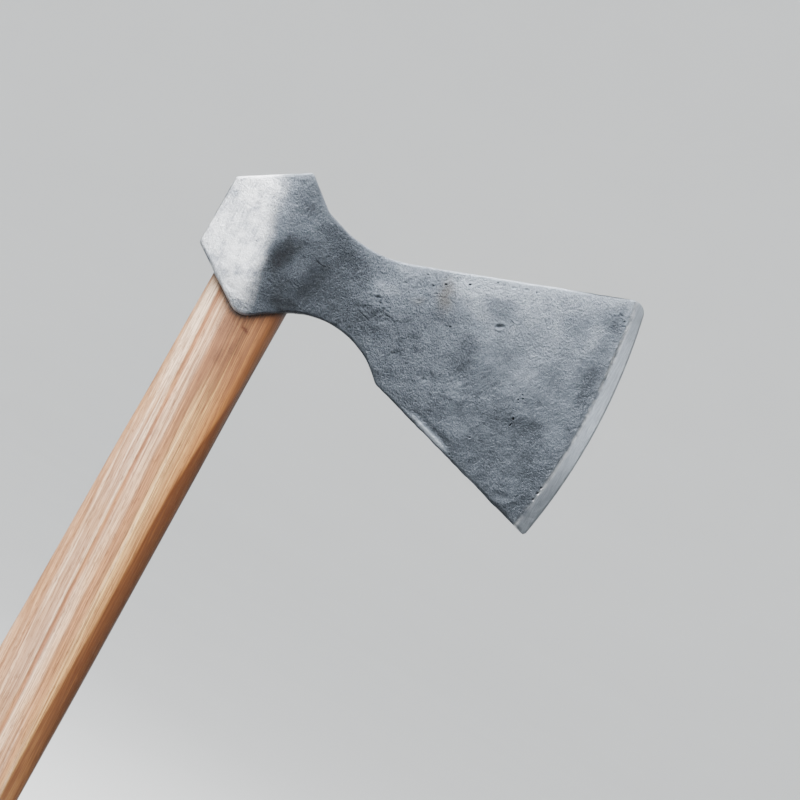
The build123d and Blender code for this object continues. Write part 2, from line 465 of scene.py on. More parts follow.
def from_scratch(x, z, start, end):
    """How far along a scratch each place lies, from 0 to 1, and its distance from the scratch."""
    start, end = np.array(start), np.array(end)
    run = end - start
    t = np.clip(((x - start[0]) * run[0] + (z - start[1]) * run[1]) / (run @ run), 0, 1)
    return t, np.hypot(x - start[0] - t * run[0], z - start[1] - t * run[1])


def flaw_depth(x, z, flaws):
    """Depth of the pits, scratches and pitted patches at each place."""
    pits, scratches, pebbles = flaws
    out = np.zeros_like(x)
    for place, shape, depth in marks(pits):
        along, across = leaning(x, z, place, *shape)
        d2 = along**2 + across**2
        out += depth * (np.clip(1 - d2, 0, 1) ** 1.3 - 0.12 * np.exp(-((np.sqrt(d2) - 1.25) ** 2) * 14))
    for start, end, half_wide, depth in scratches:
        t, off = from_scratch(x, z, start, end)
        fade = 0.4 + 0.6 * np.sin(math.pi * np.clip(t, 0.05, 0.95))
        out += depth * np.exp(-((off / half_wide) ** 2)) * fade
    for place, shape, depth in marks(pebbles):
        fade = spot(x, z, place, *shape)
        busy = fade > 0.02
        grain = wave(x[busy], z[busy], 0.75, 61.0) + 0.6 * wave(x[busy], z[busy], 1.6, 67.0)
        out[busy] += depth * fade[busy] * np.clip(grain + 0.15, -0.25, 1.0) * 1.6
    return out


def flawed(places, flaws):
    """Which places (x, z) are near a pit or scratch, and which others are in a pitted patch."""
    pits, scratches, pebbles = flaws
    x, z = places.T
    hit, coarse = np.zeros((2, len(x)), bool)
    for place, (half_long, half_wide, lean), _ in marks(pits):
        grown = half_long + FLAW_MARGIN, half_wide + FLAW_MARGIN, lean
        hit |= np.hypot(*leaning(x, z, place, *grown)) < 1
    for start, end, half_wide, _ in scratches:
        hit |= from_scratch(x, z, start, end)[1] < half_wide + FLAW_MARGIN
    for place, (half_long, half_wide, lean), _ in marks(pebbles):
        coarse |= np.hypot(*leaning(x, z, place, half_long * 1.25, half_wide * 1.25, lean)) < 1
    return hit, coarse & ~hit


def refine_and_pit(bm, side, flaws):
    """Divide one cheek's faces where its flaws lie, then press the flaws in."""
    for wanted, cuts in ((1, 1), (0, 3)):
        faces = [f for f in bm.faces if f.normal.y * side > 0.8 and f.calc_area() > COARSE_FACE * MM * MM]
        places = np.array([(f.calc_center_median().x, f.calc_center_median().z) for f in faces]) / MM
        hit = flawed(places, flaws)[wanted]
        edges = {e for f, inside in zip(faces, hit) if inside for e in f.edges}
        bmesh.ops.subdivide_edges(bm, edges=list(edges), cuts=cuts, use_grid_fill=True)
    bm.normal_update()
    verts = [v for v in bm.verts if v.normal.y * side > 0.6]
    x, z = np.array([(v.co.x, v.co.z) for v in verts]).T / MM
    for v, depth in zip(verts, flaw_depth(x, z, flaws)):
        v.co.y -= side * depth * MM


# ---- head: mesh

ROWS = 128  # quads up each cheek
ARC_STEPS = 4  # quads round each softened rim corner
LAND_STEPS = 16  # quads across the rim between its corners
BEVEL_COLUMNS = 7
BOW_START, BOW_END = 45.0, 105.0  # columns bend from straight to the edge's own arc between these
COLUMN_HINGE = 112.0  # columns past this follow the bevel's shoulder
RIM_R = 1.3
POLL_EASE = 0.7
CROWN_SHARE = 0.28


def column_stations():
    """Nominal x of every column, closest together at the poll's rim and at the bevel's shoulder."""
    shoulder = EDGE_X - BEVEL_WIDE
    poll = POLL_X + np.array([0.0, 0.12, 0.35, 0.7])
    body = np.arange(POLL_X + 1.5, 60.0, 0.9)
    blade = np.arange(60.0, shoulder - 0.9, 0.8)
    step_down = shoulder - np.array([0.66, 0.44, 0.22])
    bevel = shoulder + BEVEL_WIDE * np.arange(0, BEVEL_COLUMNS + 1) / BEVEL_COLUMNS
    return np.concatenate([poll, body, blade, step_down, bevel])


def station(a, s):
    """Apex x of column a at height share s: the last columns follow the bevel's true width."""
    nominal = EDGE_X - BEVEL_WIDE
    true = EDGE_X - bevel_width(s)
    before = COLUMN_HINGE + (a - COLUMN_HINGE) * (true - COLUMN_HINGE) / (nominal - COLUMN_HINGE)
    after = true + (a - nominal) * bevel_width(s) / BEVEL_WIDE
    return np.where(a <= COLUMN_HINGE, a, np.where(a <= nominal, before, after))


def bow(x):
    """Share of the edge's own curve that a column takes on."""
    return smooth((x - BOW_START) / (BOW_END - BOW_START))


def column_x(a, z):
    return a - bow(a) * edge_drop(z)


def column_end(a, line, far):
    """Height at which a column leaves the outline, found by halving."""
    near = np.full_like(a, EDGE_Z)
    far = np.full_like(a, far)
    for _ in range(40):
        mid = (near + far) / 2
        outside = (mid - line(column_x(a, mid))) * np.sign(far - EDGE_Z) > 0
        far = np.where(outside, mid, far)
        near = np.where(outside, near, mid)
    return near


def edge_wander(x, seed, size):
    """Hand-worked unevenness of an outline line, zero at the poll and at the edge."""
    swing = wave(x, 0 * x, 9.0, seed) + 0.5 * wave(x, 0 * x, 3.1, seed + 3)
    hold = smooth((x - POLL_X) / 12.0) * smooth((EDGE_X - 9 - x) / 8.0)
    return size * swing * hold


def rim_points(far_half, near_half, end_z, r, sign, a_end):
    """Points over the rim from the far cheek to the near one: an arc, a land and an arc."""
    turn = math.pi / 2 * np.arange(1, ARC_STEPS + 1) / ARC_STEPS
    out, down = r * np.cos(turn), r * (1 - np.sin(turn))
    t = np.arange(1, LAND_STEPS) / LAND_STEPS
    land = (far_half - r) * (1 - t) - (near_half - r) * t
    y = np.concatenate([far_half - r + out, land, r - near_half - out[::-1]])
    forged = smooth((a_end - POLL_X - 2.0) / 6.0) * smooth((EDGE_X - 8.0 - a_end) / 6.0)
    rough = 0.12 * wave(y, 0 * y + a_end, 4.0, 40.0 * sign)
    rough += 0.05 * wave(y, 0 * y + a_end, 1.7, 43.0 * sign)
    z = end_z - sign * np.concatenate([down, 0 * t, down[::-1]]) + forged * rough
    return np.stack([column_x(np.full(len(z), a_end), z), y, z], 1)


def lug_thin(x, z):
    """Thinning of the cheeks towards the tips of the lugs."""
    return 0.8 * smooth((np.abs(z) - 15.0) / 14.0) * (1 - smooth((x - 10.0) / 15.0))


def soft_shoulder(x, to_top, to_bottom):
    """Rounding of the blade's cheeks towards its top and lower edges."""
    blade = smooth((x - NECK_X) / 12.0) * smooth((EDGE_X - 10.0 - x) / 8.0)
    return blade * (0.42 * np.exp(-to_top / 1.9) + 0.3 * np.exp(-to_bottom / 1.6))


def crown(x, s, half):
    """Thinning of the blade from its middle line towards its top and lower edges."""
    blade = smooth((x - NECK_X) / 30.0) * smooth((EDGE_X - 6.0 - x) / 16.0)
    return CROWN_SHARE * blade * half * (2 * s - 1) ** 2


def head_grid():
    """Closed loops round the head, one per column: (columns, loop, 3) in mm from the eye."""
    a = column_stations()
    hi = column_end(station(a, 1.0), top_z, 80.0) + edge_wander(a, 2.0, 0.16)
    lo = column_end(station(a, 0.0), bottom_z, -80.0) + edge_wander(a, 8.0, 0.22)
    s = np.linspace(0, 1, ROWS + 1)
    loops = []
    for k, ak in enumerate(a):
        ak_s = station(np.full_like(s, ak), s)
        half = head_thickness(ak_s, s)
        ease = POLL_EASE - math.sqrt(max(0.0, POLL_EASE**2 - max(0.0, POLL_EASE - (ak - POLL_X)) ** 2))
        rim = [min(RIM_R, 0.85 * half[end]) for end in (-1, 0)]
        z_hi, z_lo = hi[k] - ease, lo[k] + ease
        z = z_lo + rim[1] + s * (z_hi - rim[0] - z_lo - rim[1])
        x = column_x(ak_s, z)
        thin = lug_thin(x, z) + soft_shoulder(x, z_hi - z, z - z_lo) + crown(x, s, half)
        loose = worked(ak_s, x, z, s)
        halves = {}
        for side in (FAR, NEAR):
            lift = relief(x, z, side) * loose
            if side == NEAR:
                lift = lift + (lower_lip(x, z - z_lo) + heel_flat(x, z - z_lo)) * smooth(loose * 3)
            halves[side] = np.maximum(half - ease - thin + lift, 0.0) if ak < EDGE_X else half * 0
        cheeks = {side: np.stack([x, side * halves[side], z], 1) for side in halves}
        top = rim_points(halves[FAR][-1], halves[NEAR][-1], z_hi, rim[0], 1, ak_s[-1])
        bottom = rim_points(halves[FAR][0], halves[NEAR][0], z_lo, rim[1], -1, ak_s[0])
        loops.append(np.concatenate([cheeks[FAR], top, cheeks[NEAR][::-1], bottom[::-1]]))
    return np.array(loops)


def poll_cap(verts, rows, rim):
    """Grid of quads that closes the poll between its two cheeks."""
    index = np.empty((rows, rim + 2), int)
    index[:, 0] = np.arange(rows)
    index[:, -1] = 2 * rows + rim - 1 - np.arange(rows)
    index[-1, 1:-1] = rows + np.arange(rim)
    index[0, 1:-1] = 2 * (rows + rim) - 1 - np.arange(rim)
    index[1:-1, 1:-1] = len(verts) + np.arange((rows - 2) * rim).reshape(-1, rim)
    t = (np.arange(1, rim + 1) / (rim + 1))[:, None]
    extra = (verts[index[1:-1, :1]] * (1 - t) + verts[index[1:-1, -1:]] * t).reshape(-1, 3)
    y, z = extra[:, 1], extra[:, 2]
    within = smooth((POLL_HALF - np.abs(y)) / 3.0) * smooth((14.0 - np.abs(z)) / 3.0)
    extra[:, 0] += within * (0.1 + 0.12 * wave(y, z, 5.0, 77.0))
    quads = np.stack([index[:-1, :-1], index[:-1, 1:], index[1:, 1:], index[1:, :-1]], -1)
    return extra, quads.reshape(-1, 4).tolist()


def build_head():
    grid = head_grid()
    verts = grid.reshape(-1, 3)
    extra, cap = poll_cap(verts, ROWS + 1, LAND_STEPS + 2 * ARC_STEPS - 1)
    faces = ring_faces(*grid.shape[:2]) + cap
    ob = mesh_from("forged_head", np.concatenate([verts, extra]) * MM, faces)
    bm = bmesh.new()
    bm.from_mesh(ob.data)
    bmesh.ops.remove_doubles(bm, verts=bm.verts, dist=2e-6)
    bmesh.ops.dissolve_degenerate(bm, edges=bm.edges, dist=1e-7)
    bmesh.ops.recalc_face_normals(bm, faces=bm.faces)
    for side, flaws in FLAWS.items():
        refine_and_pit(bm, side, flaws)
    bmesh.ops.translate(bm, verts=bm.verts, vec=(0, 0, EYE_Z * MM))
    bm.to_mesh(ob.data)
    bm.free()
    eye = [oval(*(v + grow for v in EYE_OVAL), EYE_POINTS) for grow in (EYE_FLARE, 0, EYE_FLARE)]
    cut(ob, prism("eye_tool", eye, [EYE_Z - EYE_REACH, EYE_Z, EYE_Z + EYE_REACH]))
    return ob


head = build_head()


# ---- head: values for its nodes

# Forged metal's lightness: painted light, a run up the blade that is lighter towards the top where the
# light falls, then lighter (+) and darker (-) patches of the near cheek, partly oxide, partly painted
# light and shade
PAINTED_LIGHT_HEIGHTS = [-34.0, -20.0, -5.0, 6.0, 26.0]
PAINTED_LIGHT_LEVELS = [0.12, 0.16, 0.22, 0.34, 0.74]
NEAR_TONES_AND_LIGHT = [
    (76, 23, 13, 4, 20, 0.22), (60, -2, 12, 7, -10, -0.1), (80, -4, 7, 6, 30, -0.12),
    (44, -9, 10, 7, 20, -0.2), (31, 0, 9, 14, 20, -0.22), (16, 4, 9, 16, 0, -0.2),
    (2, 22, 8, 8, 0, -0.42), (104, 2, 9, 5, 90, 0.18), (70, 8.5, 11, 5, 20, -0.16),
    (12, -18, 14, 8, 0, -0.1), (87, 21, 6, 6, 60, -0.22), (122, 22, 14, 3.4, 92, 0.14),
    (119, 20, 24, 10, 85, -0.16), (111, 2, 8, 5, 90, 0.18), (101, 18, 14, 5, 80, -0.14),
    (81, 21.5, 4.5, 3, 0, -0.16), (80, 14, 5.5, 3.5, 0, 0.16), (81, 3, 6, 4, 0, -0.18),
    (20, 13, 13, 4.5, -20, -0.3), (38, 13, 7, 4, -20, -0.18), (44, 5, 5, 3.5, 0, 0.26),
    # the row at x 85 on the lower edge is a painted highlight along the burr
    (27, -12.5, 13, 4.5, 0, -0.44), (85, -34.2, 10, 0.9, -16, 1.2), (129.5, 26, 18, 4.5, 97, -0.34),
    (122, -4, 6, 9, 0, 0.12), (104, -15, 9, 5, 20, -0.14), (118, -14, 6, 4, 30, -0.2),
    (128, -12, 4, 5, 0, 0.12), (121, -38, 7, 4, 20, 0.1), (114, 29, 7, 6, 0, -0.2),
    (127, 16, 6, 4, 90, -0.16), (129, 6, 6, 3, 90, -0.24), (124, 37, 6, 3.6, 0, -0.3),
    (12, 4, 5, 4, 0, -0.24), (4.5, -3.5, 4, 4, 0, -0.26),
]

# Patches of forge scale left on the near cheek
NEAR_SCALE = [
    (3.8, -3.5, 10.5, 5, 78, 0.8), (5.5, -8, 8, 5.5, 80, 0.45), (9, -14, 6, 4, 80, 0.5),
    (19.5, -6, 10, 5.5, 75, 0.5), (14, -19, 9, 4, 0, 0.6), (3, 14, 9, 4, 70, 0.3), (3, 24, 4, 3, 0, 0.4),
    (24, -2, 7, 5, 60, 0.3), (57, -1.5, 4, 3, -40, 0.35), (80, -34, 7, 1.8, -20, 0.5),
    (125.5, -47, 5, 1.6, -15, 0.5),
]

NEAR_STAINS = [(65.0, 15.0, 6.5, 3.6, 110, 0.8), (57.0, 7.5, 2.5, 1.5, 30, 0.4)]
FAR_STAINS = [(80.0, -5.0, 9.0, 3.0, 60, 0.6)]
PINHOLE = 0.95  # pits of a smaller half length are dark with dirt


def near_tone_and_light(x, z):
    # painted light: the run lightens up the blade; the patches add oxide and painted light and shade
    out = np.interp(z, PAINTED_LIGHT_HEIGHTS, PAINTED_LIGHT_LEVELS)
    for patch in spots(x, z, NEAR_TONES_AND_LIGHT):
        out += patch
    return np.clip(out, 0.0, 1.0)


def far_tone_and_light(x, z):
    # painted light: lighter towards the top of the blade, as on the near cheek; the drift is random tone
    drift = 0.3 * wave(x, z, 30.0, 95.0) + 0.16 * wave(x, z, 11.0, 97.0)
    return np.clip(np.interp(z, PAINTED_LIGHT_HEIGHTS, PAINTED_LIGHT_LEVELS) + 0.05 + drift, 0.0, 1.0)


def far_scale(x, z):
    return 0.4 * smooth((wave(x, z, 22.0, 90.0) + 0.1) / 0.7) * smooth((x - 2.0) / 8.0)


def dirt_depth(x, z, side):
    """Depth of a cheek's scratches and pinholes; the wider pits hold much less dirt."""
    pits, scratches, _ = FLAWS[side]
    pits = [(*pit[:5], pit[5] * (1.0 if pit[2] < PINHOLE else 0.25)) for pit in pits]
    return flaw_depth(x, z, (pits, scratches, []))


def burr_line(x, z, gap):
    """Dark ragged burr at the bevel's start, strongest at toe and heel; gap is the way there."""
    ragged = 0.3 + 0.5 * smooth((np.abs(z - 5.0) - 18.0) / 12.0) + 0.9 * wave(x, z, 3.0, 33.0)
    return np.clip(ragged, 0, 1) * np.exp(-(((gap - 0.22) / 0.16) ** 2))


def paint_head():
    x, y, z = (vertex_mm(head) - [0, 0, EYE_Z]).T
    near = y < 0
    a = x + bow(x) * edge_drop(z)
    s = np.clip((z - bottom_z(x)) / np.maximum(top_z(x) - bottom_z(x), 1.0), 0, 1)
    gap = EDGE_X - bevel_width(s) - a
    turns = np.arange(EYE_POINTS) * 2 * math.pi / EYE_POINTS
    eye_r = np.interp(np.arctan2(y, x) % (2 * math.pi), turns, np.hypot(*oval(*EYE_OVAL, EYE_POINTS).T))
    in_eye = np.hypot(x, y) < eye_r + EYE_FLARE + 0.05
    lug_low = 0.6 * smooth((-z - 19.0) / 8.0) * smooth((x + 17.0) / 8.0)
    forged = np.maximum(off_facet(x, z), lug_low) * before_bevel(a, s)
    grit = 0.6 + 0.8 * smooth((92.0 - x) / 30.0) + 0.7 * smooth((z - 2.0) / 18.0)
    pit = np.clip(np.where(near, dirt_depth(x, z, NEAR), dirt_depth(x, z, FAR)) / 0.35, 0, 1)
    scale = np.where(near, np.max(spots(x, z, NEAR_SCALE), axis=0), far_scale(x, z))
    paint(head, {
        "forged": np.maximum(forged, in_eye),  # 0 ground, 1 forged
        "loose": np.maximum(worked(a, x, z, s), in_eye),  # how coarse the relief is
        "grit": np.clip(grit, 0, 1.5),  # coarser towards the poll and the top
        "bevel": smooth((0.2 - gap) / 0.4),
        # painted highlight on the ground bevel, lightest at mid edge
        "bevel_highlight": 1 - 0.7 * smooth((np.abs(z - 6.0) - 16.0) / 22.0),  # brightest mid edge
        "pit": np.maximum(pit, 0.75 * burr_line(x, z, gap)),
        # oxide tone with painted light, lighter towards the top of the blade
        "tone_and_light": np.where(near, near_tone_and_light(x, z), far_tone_and_light(x, z)),
        "scale": np.where(in_eye, 0.9, scale),
        "stain": np.where(near, sum(spots(x, z, NEAR_STAINS)), sum(spots(x, z, FAR_STAINS))),
    })


paint_head()


# ---- haft and wedges

TENON_START = EYE_Z - 34.0
FOOT = 55.0  # the haft swells towards the butt below this height
AROUND = 144
TENON_RING = oval(*EYE_OVAL, AROUND)
BUTT_EASE = [(0.0, 2.2), (0.25, 1.45), (0.8, 0.75), (1.6, 0.22), (2.6, 0.0)]  # height, shrink
RING_SPANS = [(5.0, 283.0, 110), (284.0, 306.0, 36), (308.0, HAFT_END, 20)]  # from, to, rings
CHEEK_POWER = 3.6
FACET_ANGLE = math.radians(42.0)
FACET_CRISP = 40.0
NICK = ((5.6, 295.6), 1.8, 0.6, -25)  # place, half length, half width and lean
NICK_DEPTH = 0.45
KERF = (2.6, 0.5, 44.0)  # half width at the top, half width at the tip, depth
KERF_HALF = 30.0  # half length of the cut, right through the tenon
SPLIT = (1.2, 0.3, 19.0)
SPLIT_HALF = 7.0
WEDGE_SIDE = 25  # points along each side of a wedge
WEDGE_BULGE = 0.06  # swell of a wedge's ends, as a share of its half thickness


def haft_half_depth(z):
    return 16.0 + 1.4 * smooth((TENON_START - z) / 240) + 1.2 * smooth((FOOT - z) / FOOT)


def haft_half_width(z):
    return EYE_OVAL[1] + 1.75 * smooth((TENON_START - z) / 200) + 0.8 * smooth((FOOT - z) / FOOT)


def haft_shift(z):
    """How far forward of the eye's middle the grip's own middle lies."""
    return 0.75 * smooth((TENON_START - z) / 160) * smooth(z / 60)


def facet_start(z):
    """How far forward of the haft's middle its flat cheeks give way to the front facets."""
    return 10.7 + 4.8 * smooth((z - 225.0) / 70.0) + 2.0 * smooth((50.0 - z) / 50.0)


def haft_radius(th, z):
    """Distance from the haft's middle to its skin: flat cheeks, a rounded back and a faceted front."""
    a, b = haft_half_depth(z), haft_half_width(z)
    c, s = np.abs(np.cos(th)), np.abs(np.sin(th))
    shell = ((c / a) ** CHEEK_POWER + (s / b) ** CHEEK_POWER) ** (-1 / CHEEK_POWER)
    flat_y = b * (1 - (facet_start(z) / a) ** CHEEK_POWER) ** (1 / CHEEK_POWER)
    reach = facet_start(z) * math.cos(FACET_ANGLE) + flat_y * math.sin(FACET_ANGLE)
    lean = np.maximum(np.cos(th) * math.cos(FACET_ANGLE) + s * math.sin(FACET_ANGLE), 0.02)
    return (shell**-FACET_CRISP + (lean / reach) ** FACET_CRISP) ** (-1 / FACET_CRISP)


def haft_ring(z, shrink=0.0):
    """Points round the haft at a height: the worn grip, running into the tenon's oval."""
    th = 2 * np.pi * np.arange(AROUND) / AROUND
    grip = haft_radius(th, z)
    tenon = np.hypot(*TENON_RING.T) - 0.06
    share = smooth((z - 238.0) / (TENON_START - 4.0 - 238.0))
    r = grip * (1 - share) + tenon * share
    worn = np.array([
        0.16 * noise.noise(Vector((math.cos(t) * 1.3, math.sin(t) * 1.3, z / 55.0)))
        + 0.05 * noise.noise(Vector((math.cos(t) * 4.0, math.sin(t) * 4.0, z / 25.0 + 40)))
        for t in th
    ])
    r = r + worn * (1 - share) - shrink
    return np.stack([r * np.cos(th) + haft_shift(z), r * np.sin(th), np.full(AROUND, z)], 1)


def cut_slot(ob, half_top, half_tip, depth, half_long, along):
    """Saw a tapered slot from the tenon's top down to depth; its length runs along x or y."""
    over = 2.0
    grow = half_top + (half_top - half_tip) / depth * over
    outlines = []
    for half in (half_tip, grow):
        reach = (half_long, half) if along == "x" else (half, half_long)
        outlines.append(corners(-reach[0], reach[0], -reach[1], reach[1]))
    cut(ob, prism("slot_tool", outlines, (HAFT_END - depth, HAFT_END + over)))


def build_haft():
    rings = [haft_ring(z, shrink) for z, shrink in BUTT_EASE]
    rings += [haft_ring(z) for z in np.concatenate([np.linspace(*span) for span in RING_SPANS])]
    for ring in rings:
        ring[:, 1] += NICK_DEPTH * spot(ring[:, 0], ring[:, 2], *NICK) * (ring[:, 1] < 0)
    ob = ring_solid("carved_haft", rings)
    cut_slot(ob, *KERF, KERF_HALF, "x")
    cut_slot(ob, *SPLIT, SPLIT_HALF, "y")
    return ob


def wedge_ring(z, half, end_x):
    """Strip outline at a height: two long sides and two slightly swelling ends."""
    side = end_x * np.linspace(-1, 1, WEDGE_SIDE)
    end_y = half * (np.arange(1, 6) / 3 - 1)
    end_out = end_x + WEDGE_BULGE * half * (1 - (end_y / half) ** 2)
    x = np.concatenate([side, end_out, side[::-1], -end_out])
    y = np.concatenate([np.full(WEDGE_SIDE, -half), end_y, np.full(WEDGE_SIDE, half), -end_y])
    return np.stack([x, y, np.full(len(x), z)], 1)


def build_wooden_wedge():
    """Strip that fills the kerf, follows the eye's oval and stands a little proud."""
    top, tip, depth = KERF
    quarter = TENON_RING[:AROUND // 4]
    rings = []
    for t in np.linspace(0, 1, 20):
        half = tip + (top - tip) * t
        end_x = np.interp(half, quarter[:, 1], quarter[:, 0])
        rings.append(wedge_ring(HAFT_END - depth + depth * t, half - 0.03, end_x - 0.08))
    rings.append(rings[-1] * [1, 0.93, 1] + [0, 0, 0.35])
    ob = ring_solid("wood_wedge", rings, 6)
    cut_slot(ob, *SPLIT, SPLIT_HALF, "y")
    return ob


def build_steel_wedge():
    """Wedge across the wooden one, with a head that hammering has spread."""
    top, tip, depth = SPLIT
    stations = [(t, 0, 0) for t in (0, 0.25, 0.5, 0.75, 1)]
    stations += [(1, 0.18, 0.25), (1, 0.1, 0.5), (1, -0.25, 0.65)]
    rings = []
    for t, spread, rise in stations:
        z = HAFT_END - depth + depth * t + rise
        half = tip + (top - tip) * t - 0.02 + spread
        ring = wedge_ring(z, half, SPLIT_HALF - 0.03 + spread)[:, [1, 0, 2]]
        rings.append(ring * [-1, 1, 1])
    return ring_solid("cross_wedge", rings, 5)


haft = build_haft()
wood_wedge = build_wooden_wedge()
cross_wedge = build_steel_wedge()


# Dark smears on the haft's near cheek, just under the head
SMEARS = [
    (-2.0, 294.0, 5.0, 6.5, 0, 0.4),
    (2.0, 282.0, 2.8, 3.4, 0, 0.5),
    (5.6, 290.0, 0.8, 8.0, 0, 0.7),
    (5.0, 287.0, 3.0, 2.6, 0, 0.45),
]


def paint_haft():
    x, y, z = vertex_mm(haft).T
    near = y < 0
    ahead = x - haft_shift(z)
    past_facet = ahead - facet_start(z)
    # painted shade for the front facets: full near the head, weaker towards the butt
    shaded = 0.6 + 0.4 * smooth((z - 80.0) / 80.0)  # its darkening fades towards the butt
    deep_wide = 4.6 + 1.0 * smooth((z - 262.0) / 30.0)
    under = np.maximum(EYE_Z + bottom_z(x) - z, 0.0)  # way down from the head's lower line
    # painted shade just under the head's lower line, joined below with the dark smears
    smear_and_shade = np.exp(-under / 3.0) * 0.95
    for mark in spots(x, z, SMEARS):
        smear_and_shade = np.maximum(smear_and_shade, mark * near)
    paint(haft, {
        # painted shade: the front facets darker, deepest towards the front silhouette
        "front": smooth(past_facet / 0.9 + 0.3) * smooth((300 - z) / 20) * shaded,
        "deep_shade": smooth((ahead - haft_half_depth(z) + deep_wide) / 4.4) * shaded,
        # painted contact shadow just under the head's lower line
        "contact_shadow": np.exp(-((under / 1.7) ** 2)),
        "warm": smooth((past_facet + 6.5) / 7.5) * (0.35 + 0.65 * smooth((z - 230.0) / 60.0)),
        # darker over the front half just below the head
        "darker_below_head": 0.95 * smooth((ahead + 6.0) / 6.0) * smooth((z - 254.0) / 26.0),
        "smear_and_shade": smear_and_shade,
        "nick": spot(x, z, *NICK) * near,
        "end": np.where((z > HAFT_END - 0.3) | (z < 0.3), 1.0, 0.0),
    })


paint_haft()


# ---- materials

class Shader:
    """Adds nodes to a new material and links them."""

    def __init__(self, name):
        self.material = bpy.data.materials.new(name)
        self.material.use_nodes = True
        self.tree = self.material.node_tree
        place = {0: self.node("ShaderNodeTexCoord").outputs["Object"], "Scale": 1 / MM}
        self.mm = self.node("ShaderNodeVectorMath", place, operation="SCALE").outputs["Vector"]

    def node(self, kind, inputs=None, **settings):
        made = self.tree.nodes.new(kind)
        for key, value in settings.items():
            setattr(made, key, value)
        self.feed(made, inputs or {})
        return made

    def feed(self, node, inputs):
        """Link a node's inputs to other nodes' outputs, or set them to plain values."""
        for key, value in inputs.items():
            if isinstance(value, bpy.types.NodeSocket):
                self.tree.links.new(value, node.inputs[key])
            else:
                node.inputs[key].default_value = value

    def noise(self, scale, detail=3.0, rough=0.55, stretch=(1, 1, 1), shift=(0, 0, 0), place=None):
        """Noise with features of 1 / scale mm, over the surface's own place unless another is given."""
        start = self.mm if place is None else place
        moved = self.node("ShaderNodeMapping", {"Vector": start, "Scale": stretch, "Location": shift})
        inputs = {"Vector": moved.outputs[0], "Scale": scale, "Detail": detail, "Roughness": rough}
        return self.node("ShaderNodeTexNoise", inputs).outputs["Fac"]

    def ramp(self, value, low, high, to_low=0.0, to_high=1.0):
        """Smooth step from to_low, where a value is low, to to_high, where it is high."""
        inputs = {"Value": value, "From Min": low, "From Max": high, "To Min": to_low, "To Max": to_high}
        made = self.node("ShaderNodeMapRange", inputs, interpolation_type="SMOOTHSTEP")
        return made.outputs["Result"]

    def math(self, operation, first, second):
        return self.node("ShaderNodeMath", {0: first, 1: second}, operation=operation).outputs[0]

    def plus(self, first, second):
        return self.math("ADD", first, second)

    def minus(self, first, second):
        return self.math("SUBTRACT", first, second)

    def times(self, first, second):
        return self.math("MULTIPLY", first, second)

    def swing(self, value, amount):
        """How far a noise lies from its middle, times an amount."""
        return self.times(self.minus(value, 0.5), amount)

    def mix(self, factor, first, second):
        """Two colours run together; a plain one is three numbers."""
        inputs = {0: factor}
        for key, colour in ((6, first), (7, second)):
            inputs[key] = colour if isinstance(colour, bpy.types.NodeSocket) else (*colour, 1.0)
        return self.node("ShaderNodeMix", inputs, data_type="RGBA").outputs[2]

    def bands(self, value, low, high, stops):
        """Colours at places from low to high along a value, running into each other."""
        share = self.math("DIVIDE", self.minus(value, low), high - low)
        made = self.node("ShaderNodeValToRGB", {0: share})
        row = made.color_ramp.elements
        while len(row) < len(stops):
            row.new(0.5)
        for element, (place, _) in zip(row, stops):
            element.position = (place - low) / (high - low)
        for element, (_, tint) in zip(row, stops):
            element.color = (*tint, 1.0)
        return made.outputs[0]

    def attribute(self, name):
        return self.node("ShaderNodeAttribute", attribute_name=name).outputs["Fac"]

    def bump(self, height, depth_mm, normal=None):
        inputs = {"Height": height, "Strength": 1.0, "Distance": depth_mm * MM}
        if normal is not None:
            inputs["Normal"] = normal
        return self.node("ShaderNodeBump", inputs).outputs["Normal"]

    def finish(self, colour, **surface):
        inputs = {key.replace("_", " "): value for key, value in surface.items()}
        self.feed(self.tree.nodes["Principled BSDF"], {"Base Color": colour, **inputs})
        return self.material


